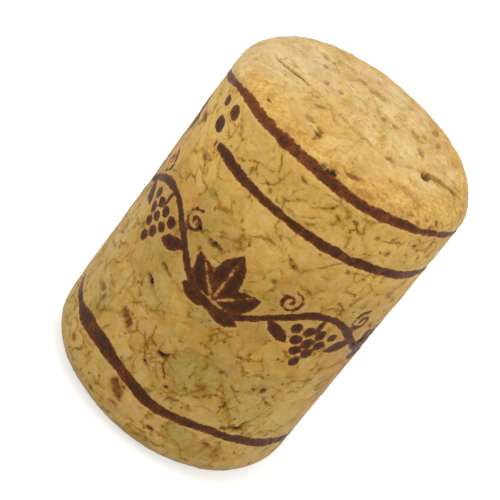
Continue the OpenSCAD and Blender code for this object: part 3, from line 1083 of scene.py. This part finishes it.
def relief(g, f):
    """Height of the surface over its smooth shape, in mm."""
    level = (f.tones[0] - 0.5) * g.step(f.edge, 0.0, 0.5) * 0.09
    level = level + (f.small_tones[0] - 0.5) * g.step(f.small_edge, 0.0, 0.4) * 0.04
    seam = g.step(f.edge, 0.22, 0.0) * (f.gape * 0.06 + 0.02)
    lumps = (g.noise(f.rest, 0.9, 3) - 0.5) * 0.08
    pebbles = (g.step(f.pebble_edge, 0.0, 0.5) - 0.6) * f.rim * 0.06
    ink = g.step(f.ink, -0.08, 0.10) * 0.06 - g.step(f.ink, -0.35, -0.12) * 0.02
    pit = g.step(f.inside, -0.06, 0.14) * f.depth
    proud = level + lumps + (g.attribute("bulge") + pebbles) + 0.03
    return proud - seam - ink - pit - f.groove * 0.10


def roughen(mesh):
    """Moves the surface along its normals with geometry nodes, and applies them."""
    tree = bpy.data.node_groups.new("relief", "GeometryNodeTree")
    for way in ("INPUT", "OUTPUT"):
        tree.interface.new_socket("Geometry", in_out=way, socket_type="NodeSocketGeometry")
    g = Graph(tree)
    height = relief(g, surface_fields(g))
    push = g.scale(g.node("GeometryNodeInputNormal").outputs[0], height * MM)
    into, out = g.node("NodeGroupInput"), g.node("NodeGroupOutput")
    move = g.node("GeometryNodeSetPosition", Geometry=into.outputs[0], Offset=push)
    g.fill(out.inputs[0], move.outputs[0])
    raw = add_object("raw", mesh)
    raw.modifiers.new("relief", "NODES").node_group = tree
    scene_graph = bpy.context.evaluated_depsgraph_get()
    done = bpy.data.meshes.new_from_object(
        raw.evaluated_get(scene_graph), preserve_all_data_layers=True, depsgraph=scene_graph)
    bpy.data.objects.remove(raw)
    done.name = "cork_stopper"
    return done


# ---- Cork material ----

def add_grain(g, f):
    """Fine noises of brightness: soft mottling, grain, dust, and fibres turned with each granule."""
    f.coarse = g.noise(f.rest, 1.5, 3, 0.6) - 0.5
    f.grain = g.noise(g.stretch(f.rest, (1, 1, 1.5)), 0.34, 4, 0.75) - 0.5
    f.dust = g.noise(f.rest, 0.13, 2, 0.7) - 0.5
    turned = g.node("ShaderNodeVectorRotate", {"rotation_type": "EULER_XYZ"}, Vector=f.rest,
                    Rotation=g.scale(g.join(*f.tones), 6.3))
    drawn = g.stretch(turned.outputs[0], (0.35, 2.4, 2.4))
    f.fibre = g.noise(drawn, 1.0, 3, 0.6) - 0.5


def add_patches(g, f):
    """Patches with torn edges, and a line round the olive ones."""
    olive, rust, pale = g.split(g.attribute("patch", vector=True))
    torn = f.ragged * 1.2
    f.olive, f.rust, f.pale = olive + torn, rust + torn, pale + torn
    f.border = g.math("ABSOLUTE", olive + torn * 0.7 - 0.34)


def side_cork(g, f):
    """The side: granules and clouds of hue, paler below, with painted light that brightens it towards the
    top.
    """
    big, small = f.tones, f.small_tones
    green = g.noise(f.rest, 1.1, 4, 0.6, (2, 8, 1))
    warm = g.noise(f.rest, 1.5, 4, 0.6, (9, 4, 7))
    light = g.noise(f.rest, 2.0, 4, 0.65, (3, 1, 6))
    height = g.split(f.rest)[2]
    return g.lay(
        STRAW,
        (OCHRE, big[0]),
        (OLIVE_TINT, big[1], 0.62, 0.80, 0.50),
        (ROSE_TINT, big[2], 0.60, 0.85, 0.45),
        (PALE_TINT, small[1], 0.5, 0.8, 0.35),
        (ROSE_TINT, small[2], 0.6, 1.0, 0.3),
        (OLIVE_TINT, green, 0.48, 0.68, 0.45),
        (ROSE_TINT, warm, 0.48, 0.68, 0.45),
        (PALE_TINT, light, 0.48, 0.72, 0.5),
        # painted light: the upper side is brightened, as if lit more from above
        (UPPER_PAINTED_LIGHT, height, 19.0, 27.0, 0.75),
        (LOWER_TINT, height, 15.0, 4.0, 0.6),
        (OLIVE_TINT, f.olive, 0.3, 0.6, 0.8),
        (SEAM_STAIN_AND_SHADE, f.border, 0.16, 0.03, 0.5),
        (PALE_TINT, f.pale, 0.3, 0.8, 0.6))


def rim_cork(g, f):
    """The upper rim: golden and crumbly, in flecks partly of its own colour and partly painted shade and
    highlights.
    """
    gold = g.noise(f.rest, 1.4, 4, 0.7, (7, 2, 9))
    crumbly = g.noise(f.rest, 0.5, 4, 0.75, (4, 4, 9))
    return g.lay(
        RIM_TINT,
        (RIM_DARK, gold, 0.46, 0.64, 0.8),
        (PALE_TINT, f.small_tones[0], 0.5, 0.8, 0.5),
        # partly painted light: these flecks also stand for the shade and highlights of the crumbly relief
        (RIM_RUST_AND_SHADE, crumbly, 0.51, 0.60, 0.65),
        (RIM_PALE_AND_HIGHLIGHT, crumbly, 0.47, 0.40, 0.7),
        # painted shade: a soft brown line round each pebble of the rim
        (SEAM_STAIN_AND_SHADE, f.pebble_edge + f.ragged * 0.8, 0.25, 0.0, 0.28))


def end_cork(g, f):
    """The upper face: cream, with rosy and golden clouds drawn out along y."""
    place = g.stretch(f.rest, (1, 0.6, 1))
    light = g.noise(place, 2.4, 4, 0.6, (3, 1, 6)) + (f.tones[0] - 0.5) * 0.5
    rosy = g.noise(place, 1.8, 4, 0.6, (9, 4, 7))
    gold = g.noise(place, 1.7, 4, 0.65, (7, 2, 9))
    return g.lay(
        CREAM,
        (CREAM_PALE, g.step(light, 0.38, 0.60)),
        (CREAM_ROSE, rosy, 0.48, 0.64, 0.7),
        (RIM_DARK, gold, 0.50, 0.66, 0.5))


def grain_tint(g, f):
    """Brightness in red, green and blue: the grain, and clouds of hue that are calmer on the rim."""
    fine, calm = 1.0 - f.rim * 0.05, 1.0 - f.rim * 0.6
    light = f.coarse * 0.40 + (f.grain * 0.42 + f.dust * 0.3 + f.fibre * 0.22) * fine
    light = light + (f.small_tones[0] - 0.5) * 0.14
    hue = (g.noise(f.rest, 0.8, 2, 0.5, (8, 8, 1)) - 0.5) * calm
    return g.join(light + 1.025, light * 1.22 + hue * 0.26 + 1.025,
                  light * (calm + 1.1) + hue * 1.3 + 1.035)


def bare_cork(g, f):
    """Cork without its seams. The upper end is golden in front, and cream in its left corner."""
    x, y, _ = g.split(f.rest)
    corner = g.step(x, -4.5, -9.0) * g.step(y, -6.5, -3.0) * g.most(f.rim, f.end)
    base = g.lay(
        side_cork(g, f),
        (rim_cork(g, f), f.rim * 0.75),
        (end_cork(g, f), f.end * 0.85),
        (RIM_TINT, g.step(y, -1.0, -8.0) * f.end * 0.4),
        (CREAM_LIGHT, corner * 0.8),
        (CREAM_LIGHT, g.step(f.pale, 0.2, 0.8) * f.end * 0.7),
        (OLIVE_TINT, g.step(f.olive, 0.2, 0.8) * f.end * 0.25),
        (RUST_TINT, f.rust, 0.3, 0.9, 0.6))
    return g.stretch(base, grain_tint(g, f))


def seams(g, f):
    """Outlines of the granules: brown lines with gaps, soft stains, and dark crumbs."""
    shown = g.step(g.noise(f.rest, 1.2, 3, 0.6), 0.42, 0.58)
    broken = g.step(g.noise(f.rest, 0.6, 3, 0.6), 0.38, 0.60) * 0.75 + 0.25
    quiet = 1.0 - g.most(f.end * 0.55, f.rim * 0.6)
    shaken = f.ragged * 0.34 + f.fuzzy * 0.16
    line = g.step(f.edge + shaken, 0.14, 0.02) * shown * broken
    thin = g.step(f.small_edge + shaken, 0.13, 0.02) * f.gape * broken
    soft = g.step(f.edge + f.ragged * 0.4, 0.36, 0.04) * (shown * 0.5 + 0.35)
    faint = g.step(f.small_edge + f.ragged * 0.3, 0.24, 0.03) * (f.gape * 0.6 + 0.15)
    stain = g.most(soft, faint) * (1.0 - f.rim * 0.5)
    spots, pick = g.cells(g.warp(f.rest, 0.6, 0.6), 0.6)
    beside = g.step(g.math("MINIMUM", f.edge, f.small_edge + 0.1), 0.4, 0.2) * f.gape
    chosen = g.step(g.split(pick)[2] + beside * 0.42, 0.86, 0.94)
    crumb = g.step(spots + f.fuzzy * 0.3 + f.ragged * 0.2, 0.20, 0.08) * chosen
    return g.most(line, thin) * quiet, stain * quiet, crumb * quiet


def blotches(g, f):
    """Soft brown spots: on the side, and on the upper face."""
    side = g.stretch(g.warp(f.rest, 2.0, 2.0), (1, 1, 1.6))
    face = g.stretch(g.warp(f.rest, 1.0, 1.0), (1, 0.6, 1))
    spread = g.step(g.noise(side, 0.75, 3, 0.6), 0.60, 0.70)
    return spread, g.step(g.noise(face, 0.9, 3, 0.6), 0.59, 0.70)


def stained_cork(g, f, seam, stain, crumb):
    """The cork with its blotches, seams and cracks."""
    blotch, face_blotch = blotches(g, f)
    base = g.lay(
        bare_cork(g, f),
        (BLOTCH_TINT, blotch * (1.0 - f.end) * (0.20 + f.rim * 0.2)),
        (BLOTCH_TINT, face_blotch * f.end * 0.45),
        (SEAM_STAIN_AND_SHADE, stain * 0.44),
        (SEAM_BROWN, seam * 0.54),
        (CRACK_DARK, crumb * 0.62),
        (SEAM_STAIN_AND_SHADE, f.halo * 0.4),
        (CRACK_DARK, f.core * 0.70))
    brown = g.most(seam, crumb, f.core, stain * 0.5)
    return g.stretch(base, g.join(1.0, 1.0 - brown * 0.06, 1.0 - brown * 0.6))


def pitted_cork(g, f, base):
    """Adds the pits: brown knots, holes coloured with painted shade, and crumbs left in the knots."""
    knot = g.mix(f.end, KNOT_BROWN, BLOTCH_TINT)
    # painted shade: an open hole gets a near-black for the shade inside it
    knot_or_hole_shade = g.mix(f.dark, knot, HOLE_SHADE)
    crumbly = g.step(g.noise(f.rest, 0.45, 3, 0.7), 0.56, 0.40) * (1.0 - f.dark)
    kept = 1.0 - crumbly * 0.6
    return g.lay(
        base,
        (BURN_LIP, f.ink, -0.35, -0.12, 0.2),
        (RUST_TINT, g.step(f.inside, -0.25, 0.05) * (0.4 - f.end * 0.25)),
        (knot_or_hole_shade, g.step(f.inside, -0.10, 0.14) * (f.dark * 0.3 + 0.65) * kept))


def burnt_tint(g, f):
    """The burnt stripes and ornament: dark and mottled, redder where thin or worn."""
    mottle = g.noise(f.rest, 0.55, 4, 0.7, (1, 6, 2))
    flecks = g.noise(f.rest, 0.42, 4, 0.7, (5, 5, 5))
    wear = g.attribute("wear")
    height = g.split(f.rest)[2]
    paler = g.step(height, 22.0, 25.0) * 0.15 + g.step(height, 28.0, 30.0) * 0.14
    paler = paler + g.step(height, 9.0, 7.0) * 0.15
    tint = g.lay(
        BURN_EDGE,
        (BURN, g.step(f.ink + f.ragged * 0.3, 0.0, 0.24)),
        (BURN_DEEP, f.ink, 0.25, 0.55, 0.7),
        (BURN_EDGE, mottle, 0.50, 0.68, 0.5),
        (BURN_BLACK, mottle, 0.50, 0.32, 0.8),
        (BURN_WORN, flecks + wear * 0.12, 0.62, 0.76, 0.6),
        (BURN_EDGE, wear + f.ragged * 2.2 + f.fuzzy, 0.35, 0.75, 0.65))
    return g.scale(tint, 1.0 + f.dust * 0.9 + f.grain * 0.6 + paler)


def cork_material():
    """Matt cork with a soft sheen, and the burnt lines a little smoother."""
    material = bpy.data.materials.new("cork")
    g = fresh_graph(material)
    f = surface_fields(g)
    add_grain(g, f)
    add_patches(g, f)
    seam, stain, crumb = seams(g, f)
    base = pitted_cork(g, f, stained_cork(g, f, seam, stain, crumb))
    ink = g.step(f.ink, -0.05, 0.05)
    base = g.mix(ink * 0.97, base, burnt_tint(g, f))
    height = f.grain * 0.06 + f.dust * 0.05 + f.fibre * 0.03 - seam * 0.03 - f.core * 0.03
    bump = g.node("ShaderNodeBump", Strength=0.7, Distance=MM, Height=height)
    g.show(g.node("ShaderNodeBsdfPrincipled", Base_Color=base, Normal=bump.outputs[0],
                  Roughness=0.80 - ink * 0.10 + f.dust * 0.2, Specular_IOR_Level=0.12,
                  Sheen_Weight=0.26, Sheen_Roughness=0.35, Sheen_Tint=(0.90, 1.0, 0.95, 1.0)))
    return material


def make_stopper():
    """The finished piece. No part of it reaches below the floor."""
    mesh, rest = build_body()
    store_marks(mesh, rest)
    done = roughen(mesh)
    place = np.empty(len(done.vertices) * 3, np.float32)
    done.vertices.foreach_get("co", place)
    place[2::3] = np.maximum(place[2::3], 0.0)
    done.vertices.foreach_set("co", place)
    done.materials.clear()
    done.materials.append(cork_material())
    return add_object("cork_stopper", done)


bpy.context.scene.view_settings.view_transform = "Standard"
make_camera()
light_scene()
make_floor()
stopper = make_stopper()
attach(stopper, "root")
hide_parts(NODE)
